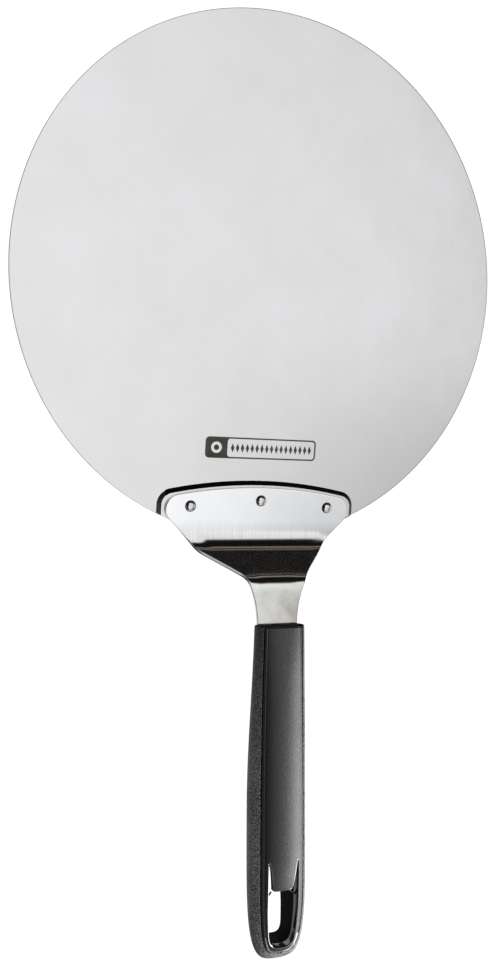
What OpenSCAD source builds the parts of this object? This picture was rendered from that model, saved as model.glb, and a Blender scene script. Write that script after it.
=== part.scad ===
// Round pizza lifter: a stainless disc blade riveted to a bent stainless
// bracket whose tang runs into a raised black handle with a hang hole.
// The origin is the centre of the blade's underside, the tip of the blade
// points along +Y and the handle leaves along -Y.

/* [Blade] */
// Diameter of the disc
blade_d = 280; // [220:5:340]
// Thickness of the blade's sheet
blade_t = 1; // [0.6:0.1:1.2]
// Height by which the bracket's seat is pressed up out of the disc
seat_rise = 1.8; // [1.4:0.1:2.4]
// Width of the pressed seat
seat_w = 117.6; // [114:0.2:124]

/* [Bracket] */
// Thickness of the bracket's sheet
bracket_t = 2; // [1.5:0.1:2.5]
// Width of the bracket's flat foot
foot_w = 108.8; // [100:0.2:110]
// Height that the bent web climbs from the foot to the neck
web_rise = 30.1; // [24:0.5:34]
// Angle of the bent web to the blade
web_angle = 67; // [55:1:72]
// Width of the neck where it enters the handle
neck_w = 22.6; // [18:0.2:24]
// Length of the tang inside the handle
tang_l = 74; // [40:1:90]

/* [Rivets] */
// Diameter of the domed head
rivet_head_d = 6.2; // [5:0.1:8]
// Height of the domed head
rivet_head_h = 1.5; // [1:0.1:2.5]
// Diameter of the shank
rivet_d = 3.2; // [2.5:0.1:4]
// Angle between neighbouring rivets, about the centre of the foot's curved edge
rivet_step = 9.5; // [8:0.1:10]

/* [Handle] */
// Angle at which the handle rises away from the blade
handle_tilt = 9.3; // [5:0.1:15]
// Length of the handle along its own axis
handle_l = 170.6; // [160:0.2:190]
// Width of the front end
front_w = 27; // [25:0.2:30]
// Width of the palm swell
palm_w = 31.2; // [28:0.2:36]
// Height of the crown above the tang's middle, at the palm swell
crown_h = 11; // [9:0.1:13]
// Depth of the belly below the tang's middle, at the palm swell
belly_h = 11; // [9:0.1:13]
// Thickness of the soft grip around the core
grip_t = 2.6; // [2:0.1:3.5]
// Thickness of the glossy top panel
panel_t = 2.4; // [1.8:0.1:3]
// Width of the glossy top panel at the palm swell
panel_w = 23.1; // [20:0.1:25]
// Gap between the panel and the grip's lip
panel_gap = 0.45; // [0.2:0.05:0.8]

/* [Hang hole] */
// Width of the hole at the top
hole_w = 16.2; // [12:0.2:17]
// Length of the thumb tongue that hangs over the hole
tongue_l = 15; // [10:0.5:18]
// Drop of the tongue's tip below the crown
tongue_drop = 2.3; // [0:0.1:3]

/* [Hidden] */

steel = "#c9cccd";
polished = "#e2e4e6";
gloss_black = "#2b2c2e";
soft_black = "#3c3c3a";
core_black = "#1d1d1e";

// The foot's curved edge, the seat and the rivets share one centre.
arc_y = -blade_d / 2 - 226;
seat_r = 256.9;
seat_corner = 9;
seat_wall = 1.9;
seat_edge_y = -blade_d / 2 - 6;
foot_r = seat_r - 2.8;
foot_corner = 8;
rivet_r = foot_r - 7.2;
seat_top = blade_t + seat_rise;
foot_top = seat_top + bracket_t;

// Bends of the bracket, as lengths along its top face from the foot's edge.
foot_y = arc_y + foot_r;
low_bend_r = 12;
high_bend_r = 10;
low_drop = low_bend_r * (1 - cos(web_angle));
high_turn = web_angle - handle_tilt;
high_drop = high_bend_r * (cos(handle_tilt) - cos(web_angle));
web_l = (web_rise - low_drop - high_drop) / sin(web_angle);
bend_1 = 23.7;
bend_2 = bend_1 + low_bend_r * web_angle * PI / 180;
bend_3 = bend_2 + web_l;
bend_4 = bend_3 + high_bend_r * high_turn * PI / 180;
neck_l = 18.7;
tang_start = bend_4 + neck_l;
tang_end = tang_start + tang_l;

// Half widths of the flat blank: a 45 degree shoulder, a flatter flank and a
// fillet that runs into the neck.
shoulder_s = 15.4;
shoulder_angle = 45;
shoulder_end = bend_1 + 6;
shoulder_r = 6;
shoulder_run = shoulder_r * tan(shoulder_angle / 2);
flank_angle = 38;
flank_r = 53;
flank_end = tang_start;
flank_start = flank_end - flank_r * sin(flank_angle);
flank_half = neck_w / 2 + flank_r * (1 - cos(flank_angle));
tang_half = 8;
tang_step = 6;

// The handle's own frame starts where the middle of the tang enters it.
function path_angle(s) =
  s <= bend_1 ? 0
  : s <= bend_2 ? (s - bend_1) / low_bend_r * 180 / PI
  : s <= bend_3 ? web_angle
  : s <= bend_4 ? web_angle - (s - bend_3) / high_bend_r * 180 / PI
  : handle_tilt;

function path_y(s) =
  s <= bend_1 ? foot_y - s
  : s <= bend_2 ? path_y(bend_1) - low_bend_r * sin(path_angle(s))
  : s <= bend_3 ? path_y(bend_2) - (s - bend_2) * cos(web_angle)
  : s <= bend_4 ? path_y(bend_3) - high_bend_r * (sin(web_angle) - sin(path_angle(s)))
  : path_y(bend_4) - (s - bend_4) * cos(handle_tilt);

function path_z(s) =
  s <= bend_1 ? foot_top
  : s <= bend_2 ? foot_top + low_bend_r * (1 - cos(path_angle(s)))
  : s <= bend_3 ? path_z(bend_2) + (s - bend_2) * sin(web_angle)
  : s <= bend_4 ? path_z(bend_3) + high_bend_r * (cos(path_angle(s)) - cos(web_angle))
  : path_z(bend_4) + (s - bend_4) * sin(handle_tilt);

// A point of the side profile, a given depth under the top face.
function profile_point(s, depth) = [
  path_y(s) - depth * sin(path_angle(s)),
  path_z(s) - depth * cos(path_angle(s))
];

handle_y = path_y(tang_start) - bracket_t / 2 * sin(handle_tilt);
handle_z = path_z(tang_start) - bracket_t / 2 * cos(handle_tilt);

function arc(cx, cy, r, from, to, steps) = [
  for (i = [0:steps])
    let (a = from + (to - from) * i / steps)
    [cx + r * cos(a), cy + r * sin(a)]
];

function mirrored(points) = [
  for (i = [len(points) - 1:-1:0]) [-points[i][0], points[i][1]]
];

// Right half of an outline with a big arc, a corner fillet and a straight side.
function arched_side(half, big_r, corner_r) =
  let (
    cx = half - corner_r,
    cy = arc_y + sqrt(pow(big_r - corner_r, 2) - cx * cx),
    turn = atan2(cy - arc_y, cx)
  )
  concat(arc(cx, cy, corner_r, 0, turn, 8), arc(0, arc_y, big_r, turn, 90, 12));

module seat_slice(inset) {
  side = arched_side(seat_w / 2 - inset, seat_r - inset, seat_corner - inset);
  edge = [[seat_w / 2 - inset, seat_edge_y]];
  half = concat(edge, side);
  polygon(concat(half, mirrored(half)));
}

// A pressed step: it narrows by the wall width as it rises.
module seat_form(z0, z1, inset) {
  skin = 0.01;
  hull() {
    translate([0, 0, z0]) linear_extrude(skin) seat_slice(inset);
    translate([0, 0, z1 - skin]) linear_extrude(skin) seat_slice(inset + seat_wall);
  }
}

function rivet_place(i) = [
  rivet_r * sin(i * rivet_step),
  arc_y + rivet_r * cos(i * rivet_step)
];

module rivet_bores(z0, z1) {
  for (i = [-1:1])
    translate([each rivet_place(i), z0])
      cylinder(h = z1 - z0, d = rivet_d, $fn = 48);
}

// The hollow under the seat is drawn in, so that the wall keeps its thickness.
module blade() {
  below = 1;
  inner_inset = 0.45;
  color(steel)
    difference() {
      union() {
        cylinder(h = blade_t, d = blade_d, $fn = 240);
        intersection() {
          cylinder(h = seat_top, d = blade_d, $fn = 240);
          seat_form(blade_t / 2, seat_top, 0);
        }
      }
      seat_form(-below, seat_rise, inner_inset);
      rivet_bores(0, seat_top + below);
    }
}

// Half width of the blank at a length along the top face.
function blank_half(s) =
  s < shoulder_end ? foot_w / 2 - (s - shoulder_s) * tan(shoulder_angle)
  : s < flank_start ? flank_half + (flank_start - s) * tan(flank_angle)
  : neck_w / 2 + flank_r * (1 - cos(asin((flank_end - s) / flank_r)));

module foot_outline() {
  step = 2.2;
  chamfer = 4;
  throat = 3;
  top = arched_side(foot_w / 2, foot_r, foot_corner);
  shoulder = arc(
    foot_w / 2 - shoulder_r, foot_y - shoulder_s + shoulder_run,
    shoulder_r, -shoulder_angle, 0, 5
  );
  blank = [
    for (s = [flank_end:-step:shoulder_s + step]) [blank_half(s), path_y(s)]
  ];
  neck_end = path_y(tang_start + tang_step);
  tang_tip = path_y(tang_end);
  tang = [
    [tang_half - chamfer, tang_tip],
    [tang_half, tang_tip + chamfer],
    [tang_half, neck_end],
    [neck_w / 2, neck_end + throat]
  ];
  half = concat(tang, blank, shoulder, top);
  polygon(concat(half, mirrored(half)));
}

module bent_strip() {
  stations = concat(
    [-12, bend_1],
    [for (i = [1:10]) bend_1 + (bend_2 - bend_1) * i / 10],
    [for (i = [0:10]) bend_3 + (bend_4 - bend_3) * i / 10],
    [tang_end]
  );
  last = len(stations) - 1;
  side = concat(
    [for (s = stations) profile_point(s, 0)],
    [for (i = [last:-1:0]) profile_point(stations[i], bracket_t)]
  );
  rotate([90, 0, 90])
    linear_extrude(foot_w + 2, center = true)
      polygon(side);
}

module bracket_sheet() {
  intersection() {
    bent_strip();
    linear_extrude(handle_z * 2) foot_outline();
  }
}

module bracket() {
  color(polished)
    difference() {
      bracket_sheet();
      rivet_bores(0, foot_top + 1);
    }
}

module rivet(i) {
  dome_r = (pow(rivet_head_d / 2, 2) + pow(rivet_head_h, 2)) / (2 * rivet_head_h);
  tail_h = 0.9;
  tail_d = rivet_head_d - 1;
  color(steel)
    translate([each rivet_place(i), 0]) {
      translate([0, 0, foot_top])
        intersection() {
          cylinder(h = rivet_head_h, d = rivet_head_d, $fn = 48);
          translate([0, 0, rivet_head_h - dome_r]) sphere(r = dome_r, $fn = 64);
        }
      translate([0, 0, seat_rise - tail_h])
        cylinder(h = tail_h, d = tail_d, $fn = 48);
      translate([0, 0, seat_rise - tail_h / 2])
        cylinder(h = foot_top - seat_rise + tail_h, d = rivet_d, $fn = 48);
    }
}

// Handle. A length l runs from the front end along the handle's axis.
function ease(from, to, t) = from + (to - from) * sin(90 * min(max(t, 0), 1));
function blend(from, to, t) = from + (to - from) * (1 - cos(180 * min(max(t, 0), 1))) / 2;

function rounding(l, start, end, power) =
  l <= start ? 1
  : pow(max(0, 1 - pow((l - start) / (end - start), power)), 1 / power);

swell_l = 100;
plan_start = 110;
plan_power = 4.2;
crown_start = 112;
crown_end_power = 2.6;
belly_start = 95;
belly_end_power = 2.8;

// Height of the widest line, half width there, and heights above and below it.
function wide_z(l) = blend(2.6, -0.4, l / belly_start);
function half_w(l) =
  ease(front_w, palm_w, l / swell_l) / 2 * rounding(l, plan_start, handle_l, plan_power);
function crown(l) =
  (ease(crown_h - 0.8, crown_h, l / 55) - wide_z(l))
  * rounding(l, crown_start, handle_l, crown_end_power);
function belly(l) =
  blend(7.6, belly_h, l / belly_start)
  * rounding(l, belly_start, handle_l, belly_end_power);

// Powers of the sections' curves: 2 is an ellipse, more is squarer.
function crown_power(l) = ease(2.9, 2.12, l / 35);
function belly_power(l) = blend(2.1, 2.5, l / 90);

// Height of the top surface at a length and a distance from the middle.
function top_z(l, x) =
  let (k = min(abs(x) / half_w(l), 1), p = crown_power(l))
  wide_z(l) + crown(l) * pow(1 - pow(k, p), 1 / p);

function signed_pow(v, p) = sign(v) * pow(abs(v), p);

panel_end = handle_l - 4.2;
pocket_end = panel_end + panel_gap;
panel_front = 0.8;

function panel_half(l) =
  ease(panel_w - 2.6, panel_w, l / swell_l) / 2
  * rounding(l, plan_start, panel_end, plan_power);
function lip_half(l) = panel_half(l) + panel_gap;

// A point of the section's outline at a turn from +X, drawn in by an inset.
function outline_point(l, turn, inset) =
  let (
    up = sin(turn) > 0,
    p = up ? crown_power(l) : belly_power(l),
    tall = (up ? crown(l) : belly(l)) - inset,
    wide = half_w(l) - inset
  )
  [
    wide * signed_pow(cos(turn), 2 / p),
    -l,
    wide_z(l) + tall * signed_pow(sin(turn), 2 / p)
  ];

function section(l, inset, count) = [
  for (i = [0:count - 1]) outline_point(l, 360 * (i + 0.5) / count, inset)
];

// Points across the top surface, a given depth under it.
function across(l, half, depth, count) = [
  for (i = [0:count])
    let (x = half * cos(180 * i / count))
    [x, -l, top_z(l, x) - depth]
];

// Skins a row of convex sections.
module loft(rows) {
  for (i = [1:len(rows) - 1]) {
    points = concat(rows[i - 1], rows[i]);
    hull() polyhedron(points, [[for (k = [0:len(points) - 1]) k]]);
  }
}

// Lengths that crowd together towards the round end.
function stations(from, to, count) = [
  for (i = [0:count]) from + (to - from) * sin(90 * i / count)
];

module in_handle() {
  translate([0, handle_y, handle_z]) rotate([-handle_tilt, 0, 0]) children();
}

module outer_body() {
  edge = 0.8;
  count = 40;
  front = [
    for (a = [0:30:60]) section(edge * (1 - cos(a)), edge * (1 - sin(a)), count)
  ];
  rest = [for (l = stations(edge, handle_l - 0.05, 26)) section(l, 0, count)];
  loft(concat(front, rest));
}

// The core fills the grip up to the underside of the panel.
module core_body(front) {
  count = 16;
  loft([
    for (l = stations(front, pocket_end, 20))
      concat(
        across(l, lip_half(l), panel_t, count),
        [for (turn = [180:180 / count:360]) outline_point(l, turn, grip_t)]
      )
  ]);
}

// Straight sides above the lips, where the panel drops in.
module panel_pocket() {
  above = 9;
  loft([
    for (l = stations(-1, pocket_end, 20))
      let (lip = lip_half(l), low = top_z(l, lip) - panel_t)
      [[lip, -l, low], [lip, -l, low + above], [-lip, -l, low + above], [-lip, -l, low]]
  ]);
}

// A block with the top's arch and straight sides.
module panel_block() {
  loft([
    for (l = stations(panel_front, panel_end - 0.05, 22))
      let (half = panel_half(l), low = top_z(l, half) - panel_t)
      concat(across(l, half, 0, 16), [[-half, -l, low], [half, -l, low]])
  ]);
}

// The hang hole narrows from the top to the bottom.
hole_top = [119.5, 163.2, hole_w / 2];
hole_bottom = [129, 161, hole_w / 2 - 1.7];
hole_top_z = 8;
hole_bottom_z = -11;
hole_power = 5;

function hole_at(z) =
  hole_bottom + (hole_top - hole_bottom) * (z - hole_bottom_z) / (hole_top_z - hole_bottom_z);

function hole_ring(z) =
  let (h = hole_at(z), middle = (h[0] + h[1]) / 2, long = (h[1] - h[0]) / 2)
  [
    for (a = [5:10:355])
      [
        h[2] * signed_pow(cos(a), 2 / hole_power),
        -middle + long * signed_pow(sin(a), 2 / hole_power),
        z
      ]
  ];

module hang_hole() {
  loft([hole_ring(-16), hole_ring(14)]);
}

module handle_core() {
  color(core_black)
    difference() {
      in_handle() core_body(panel_front);
      in_handle() hang_hole();
      bracket_sheet();
    }
}

module handle_grip() {
  color(soft_black)
    in_handle() difference() {
      outer_body();
      core_body(-1);
      panel_pocket();
      hang_hole();
      cube([neck_w, 2 * tang_step, bracket_t], center = true);
    }
}

module tongue() {
  root = hole_top[0] - 6;
  tip = hole_top[0] + tongue_l;
  steps = 10;
  skin = 0.1;
  taper = 2;
  loft([
    for (i = [0:steps])
      let (
        l = root + (tip - root) * i / steps,
        t = max(0, (l - hole_top[0]) / tongue_l),
        half = hole_w / 2 - 0.5 - taper * t,
        drop = skin * (1 - t) + tongue_drop * t * t,
        low = top_z(l, half) - drop - panel_t + 2 * skin
      )
      concat(across(l, half, drop, 12), [[-half, -l, low], [half, -l, low]])
  ]);
}

module handle_panel() {
  color(gloss_black)
    in_handle() {
      difference() {
        panel_block();
        core_body(-1);
        hang_hole();
      }
      tongue();
    }
}

blade();
bracket();
rivet(-1);  // rivet_left
rivet(0);  // rivet_middle
rivet(1);  // rivet_right
handle_core();
handle_grip();
handle_panel();
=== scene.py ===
# Round pizza lifter: the visible steel sheets, rivets and handle mouldings,
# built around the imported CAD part. Lengths are in millimetres until a mesh is made.
import math
from math import cos, pi, radians, sin

import bmesh
import bpy
from mathutils import Matrix, Vector
from mathutils.geometry import delaunay_2d_cdt


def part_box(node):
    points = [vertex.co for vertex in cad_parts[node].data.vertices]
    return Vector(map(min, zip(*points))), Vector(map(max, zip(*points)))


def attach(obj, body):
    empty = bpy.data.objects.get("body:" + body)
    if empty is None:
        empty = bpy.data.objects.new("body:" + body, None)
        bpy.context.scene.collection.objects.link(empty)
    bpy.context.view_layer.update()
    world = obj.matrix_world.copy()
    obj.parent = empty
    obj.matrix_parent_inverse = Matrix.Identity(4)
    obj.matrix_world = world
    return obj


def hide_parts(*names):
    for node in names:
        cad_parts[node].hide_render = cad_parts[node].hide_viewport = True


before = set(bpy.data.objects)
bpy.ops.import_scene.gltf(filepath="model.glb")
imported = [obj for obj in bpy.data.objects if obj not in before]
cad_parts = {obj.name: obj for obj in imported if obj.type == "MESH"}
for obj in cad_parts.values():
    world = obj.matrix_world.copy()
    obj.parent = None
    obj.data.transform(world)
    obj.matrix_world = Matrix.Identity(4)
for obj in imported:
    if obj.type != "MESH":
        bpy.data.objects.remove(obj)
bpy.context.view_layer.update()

MM = 0.001
BODY = "root"


def box_mm(node):
    low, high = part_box(node)
    return low / MM, high / MM


# -------------------------------- dimensions
blade_low, blade_high = box_mm("blade")
bracket_low, bracket_high = box_mm("bracket")

BLADE_R = round((blade_high.x - blade_low.x) / 2, 1)
BLADE_T = 1.0
BLADE_EDGE_R = 0.28
SEAT_TOP = blade_high.z
SEAT_RISE = SEAT_TOP - BLADE_T
SEAT_HALF = 58.8
SEAT_WALL = 2.5
SEAT_CORNER = 9.0
ARC_Y = -BLADE_R - 226
SEAT_R = 257.7
UNDERSIDE_LAG = 0.45  # the wall's underside starts this much further in

# The bracket is described along its developed length s, from the foot's far edge.
SHEET_T = 2.0
SHEET_EDGE_R = 0.22
FOOT_HALF = bracket_high.x
FOOT_R = SEAT_R - 3.6
FOOT_CORNER = 8.0
FOOT_TOP = bracket_low.z + SHEET_T
FOOT_Y = ARC_Y + FOOT_R
LOW_BEND_R = 12.0
HIGH_BEND_R = 10.0
WEB_ANGLE = radians(67)
TILT = radians(9.3)
WEB_RISE = 30.1
BEND_1 = 23.7
BEND_2 = BEND_1 + LOW_BEND_R * WEB_ANGLE
WEB_L = (
    WEB_RISE
    - LOW_BEND_R * (1 - cos(WEB_ANGLE))
    - HIGH_BEND_R * (cos(TILT) - cos(WEB_ANGLE))
) / sin(WEB_ANGLE)
BEND_3 = BEND_2 + WEB_L
BEND_4 = BEND_3 + HIGH_BEND_R * (WEB_ANGLE - TILT)
NECK_END = BEND_4 + 18.7
NECK_HALF = 11.3
SHOULDER_S = 15.4
SHOULDER_R = 6.0
SHOULDER_END = BEND_1 + 6
FLANK_ANGLE = radians(38)
FLANK_R = 53.0
FLANK_START = NECK_END - FLANK_R * sin(FLANK_ANGLE)
FLANK_HALF = NECK_HALF + FLANK_R * (1 - cos(FLANK_ANGLE))
BEND_EASE = 1.5  # how far the bends' sag reaches past them
SAG_WIDTH = 9
LOW_SAG = 0.75
HIGH_SAG = 0.4

RIVET_SHANK_R = 1.6
HEAD_POWER = 3.5  # a flat top and a steep rim
HEAD_RINGS = 14
# From this ring outwards the rivet head's rim is painted near-black, as shade.
SHADE_FROM_RING = 9

HANDLE_L = 170.6
FRONT_W = 27.0
PALM_W = 31.2
CROWN_H = 11.0
BELLY_H = 11.0
PANEL_W = 23.1
PANEL_T = 2.4
PANEL_GAP = 0.45
PANEL_THIN = 0.1  # what the visible panel's underside stands above the CAD's
PANEL_DROP = 0.42  # how far the panel's outer edge lies below its surface
PANEL_FRONT = 0.8
PANEL_END = HANDLE_L - 4.2
POCKET_END = PANEL_END + PANEL_GAP
GRIP_T = 2.6
GRIP_EDGE_R = 0.9
LIP_R = 0.35
SIDE_ROUND = (110, 4.2)  # where the round end starts, and its power
CROWN_ROUND = (112, 2.6)
BELLY_ROUND = (95, 2.8)
HOLE_TOP = (119.5, 163.2, 8.1)
HOLE_BOTTOM = (129.0, 161.0, 6.4)
HOLE_ROUND = (150, 3.4)
HOLE_NARROWING = 0.75
HOLE_TOP_N = 8.0
HOLE_BOTTOM_N = -11.0
SKIRT_N = -2.5
RIM_R = 0.4
TONGUE_L = 15.0
TONGUE_DROP = 2.3
TONGUE_CORNER = 1.6
POLISHED_FROM = 157  # where the panel's bead starts to be polished


# -------------------------------- small maths
def clamp(t):
    return min(max(t, 0.0), 1.0)


def smooth(t):
    t = clamp(t)
    return t * t * (3 - 2 * t)


def ease(a, b, t):
    return a + (b - a) * sin(pi / 2 * clamp(t))


def blend(a, b, t):
    return a + (b - a) * (1 - cos(pi * clamp(t))) / 2


def rounding(l, start, end, power):
    if l <= start:
        return 1.0
    return max(0.0, 1 - ((l - start) / (end - start)) ** power) ** (1 / power)


def signed_pow(v, p):
    return math.copysign(abs(v) ** p, v)


def arc_points(cx, cy, r, start, end, steps):
    angles = [start + (end - start) * i / steps for i in range(steps + 1)]
    return [(cx + r * cos(a), cy + r * sin(a)) for a in angles]


def mirrored(points):
    return [(-x, y) for x, y in reversed(points)]


def edge_normals(loop):
    """Outward normals of a closed loop drawn anticlockwise."""
    normals = []
    for i, (x, y) in enumerate(loop):
        x0, y0 = loop[i - 1]
        x1, y1 = loop[(i + 1) % len(loop)]
        a = Vector((y - y0, x0 - x)).normalized()
        b = Vector((y1 - y, x - x1)).normalized()
        n = (a + b).normalized()
        normals.append(n / max(n.dot(a), 0.5))
    return normals


def grown(loop, distance):
    """The loop moved outwards, or inwards where the distance is negative."""
    return [
        (x + n.x * distance, y + n.y * distance)
        for (x, y), n in zip(loop, edge_normals(loop))
    ]


def inside(point, loop):
    x, y = point
    hit = False
    for i, (x1, y1) in enumerate(loop):
        x0, y0 = loop[i - 1]
        if (y0 > y) != (y1 > y) and x < (x1 - x0) * (y - y0) / (y1 - y0) + x0:
            hit = not hit
    return hit


# -------------------------------- mesh making
class Shape:
    """Points in millimetres, their flat coordinates for the grain, and faces."""

    def __init__(self):
        self.points, self.flat, self.faces = [], [], []
        self.second = set()

    def add(self, points, flat=None):
        start = len(self.points)
        self.points += [tuple(p) for p in points]
        self.flat += [tuple(f) for f in (flat or [(p[0], p[1]) for p in points])]
        return list(range(start, len(self.points)))

    def strip(self, a, b, closed=True):
        """Quads between two rows of the same count."""
        for i in range(len(a) if closed else len(a) - 1):
            j = (i + 1) % len(a)
            self.faces.append((a[i], b[i], b[j], a[j]))

    def extend(self, last, points, flat=None):
        """A new row, joined to the last one by a closed strip."""
        row = self.add(points, flat)
        self.strip(last, row)
        return row

    def cap(self, top, low, triangles):
        """The triangles of a plan, facing up over one row and down over another."""
        self.faces += [tuple(top[i] for i in t) for t in triangles]
        self.faces += [tuple(low[i] for i in reversed(t)) for t in triangles]

    def loft(self, rows):
        """Strips from row to row and a face over each end."""
        for a, b in zip(rows, rows[1:]):
            self.strip(a, b)
        self.faces += [tuple(rows[0]), tuple(reversed(rows[-1]))]

    def mark_since(self, first):
        """The faces made since a face count take the second material."""
        self.second.update(range(first, len(self.faces)))

    def make(self, name, materials, sharp, place=None):
        """A finished object. Edges sharper than some degrees stay hard."""
        mesh = bpy.data.meshes.new(name)
        place = place or Matrix.Identity(4)
        verts = [place @ (Vector(p) * MM) for p in self.points]
        mesh.from_pydata(verts, [], self.faces)
        for material in materials:
            mesh.materials.append(material)
        for i in self.second:
            mesh.polygons[i].material_index = 1
        layer = mesh.uv_layers.new(name="grain")
        for loop in mesh.loops:
            u, v = self.flat[loop.vertex_index]
            layer.data[loop.index].uv = (u * MM, v * MM)
        return finish_mesh(mesh, name, sharp)


def finish_mesh(mesh, name, sharp):
    work = bmesh.new()
    work.from_mesh(mesh)
    bmesh.ops.remove_doubles(work, verts=work.verts, dist=2e-6)
    bmesh.ops.dissolve_degenerate(work, edges=work.edges, dist=1e-6)
    bmesh.ops.recalc_face_normals(work, faces=work.faces)
    work.to_mesh(mesh)
    work.free()
    mesh.validate()
    mesh.shade_smooth()
    mesh.set_sharp_from_angle(angle=radians(sharp))
    piece = bpy.data.objects.new(name, mesh)
    bpy.context.scene.collection.objects.link(piece)
    return piece


def triangulate(loops, lines, free):
    """Triangles inside the first loop and outside the others.

    lines are pairs (points, closed) kept as edges, free are loose points.
    Returns the points, the triangles and each loop's point numbers."""
    points, edges, spans = [], [], []
    for line, closed in [(loop, True) for loop in loops] + lines:
        start = len(points)
        points += line
        count = len(line)
        edges += [
            (start + i, start + (i + 1) % count)
            for i in range(count if closed else count - 1)
        ]
        spans.append((start, count))
    points += free
    out = delaunay_2d_cdt([Vector(p) for p in points], edges, [], 1, 1e-7)
    verts, tris, sources = out[0], out[2], out[3]
    where = {i: k for k, ids in enumerate(sources) for i in ids}
    kept = []
    for tri in tris:
        middle = sum((verts[i] for i in tri), Vector((0, 0))) / 3
        if not any(inside(middle, hole) for hole in loops[1:]):
            kept.append(tuple(tri))
    rows = [[where[s + i] for i in range(n)] for s, n in spans[: len(loops)]]
    return [tuple(v) for v in verts], kept, rows


# -------------------------------- node helpers
def new_material(name):
    material = bpy.data.materials.new(name)
    material.use_nodes = True
    tree = material.node_tree
    shader = tree.nodes["Principled BSDF"]
    return material, tree, shader


def link(tree, source, target):
    tree.links.new(source, target)


def noise(tree, source, scale, detail=4.0, roughness=0.6, stretch=(1, 1, 1)):
    mapping = tree.nodes.new("ShaderNodeMapping")
    mapping.inputs["Scale"].default_value = stretch
    link(tree, source, mapping.inputs["Vector"])
    texture = tree.nodes.new("ShaderNodeTexNoise")
    texture.inputs["Scale"].default_value = scale
    texture.inputs["Detail"].default_value = detail
    texture.inputs["Roughness"].default_value = roughness
    link(tree, mapping.outputs["Vector"], texture.inputs["Vector"])
    return texture.outputs["Fac"]


def spread(tree, source, low, high, from_low=0.3, from_high=0.7, kind="LINEAR"):
    node = tree.nodes.new("ShaderNodeMapRange")
    node.interpolation_type = kind
    node.inputs["From Min"].default_value = from_low
    node.inputs["From Max"].default_value = from_high
    node.inputs["To Min"].default_value = low
    node.inputs["To Max"].default_value = high
    link(tree, source, node.inputs["Value"])
    return node.outputs["Result"]


def maths(tree, kind, a, b):
    node = tree.nodes.new("ShaderNodeMath")
    node.operation = kind
    for socket, value in zip(node.inputs, (a, b)):
        if hasattr(value, "is_linked"):
            link(tree, value, socket)
        else:
            socket.default_value = value
    return node.outputs["Value"]


def plus(tree, a, b):
    return maths(tree, "ADD", a, b)


def times(tree, a, b):
    return maths(tree, "MULTIPLY", a, b)


def two_colours(tree, factor, dark, light):
    node = tree.nodes.new("ShaderNodeMix")
    node.data_type = "RGBA"
    node.inputs["A"].default_value = (*dark, 1)
    node.inputs["B"].default_value = (*light, 1)
    link(tree, factor, node.inputs["Factor"])
    return node.outputs["Result"]


def bump(tree, shader, height, strength, distance):
    node = tree.nodes.new("ShaderNodeBump")
    node.inputs["Strength"].default_value = strength
    node.inputs["Distance"].default_value = distance
    link(tree, height, node.inputs["Height"])
    link(tree, node.outputs["Normal"], shader.inputs["Normal"])


def steel(name, dark, light, rough, cloud, streak_bump, anisotropy):
    """Stainless sheet with the grain along the flat coordinates' second axis."""
    material, tree, shader = new_material(name)
    flat = tree.nodes.new("ShaderNodeUVMap")
    flat.uv_map = "grain"
    place = tree.nodes.new("ShaderNodeTexCoord").outputs["Object"]
    fine = noise(tree, flat.outputs["UV"], 1.0, 3.0, 0.6, (3400, 75, 1))
    broad = noise(tree, flat.outputs["UV"], 1.0, 4.0, 0.6, (700, 14, 1))
    clouds = noise(tree, place, 22.0, 5.0, 0.62)
    smears = noise(tree, place, 60.0, 3.0, 0.55, (1, 0.6, 1))
    lesser = times(tree, plus(tree, broad, smears), 0.1)
    mixed = plus(tree, times(tree, clouds, 0.8), lesser)
    colour = two_colours(tree, spread(tree, mixed, 0, 1, 0.36, 0.66), dark, light)
    link(tree, colour, shader.inputs["Base Color"])
    cloudy = spread(tree, clouds, rough + cloud, rough - cloud)
    roughness = plus(tree, cloudy, spread(tree, fine, -0.02, 0.02))
    link(tree, roughness, shader.inputs["Roughness"])
    shader.inputs["Metallic"].default_value = 1.0
    if anisotropy:
        tangent = tree.nodes.new("ShaderNodeTangent")
        tangent.direction_type = "UV_MAP"
        tangent.uv_map = "grain"
        link(tree, tangent.outputs["Tangent"], shader.inputs["Tangent"])
        shader.inputs["Anisotropic"].default_value = anisotropy
    lines = plus(tree, fine, times(tree, broad, 0.3))
    bump(tree, shader, lines, streak_bump, 0.00002)
    return material


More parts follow.
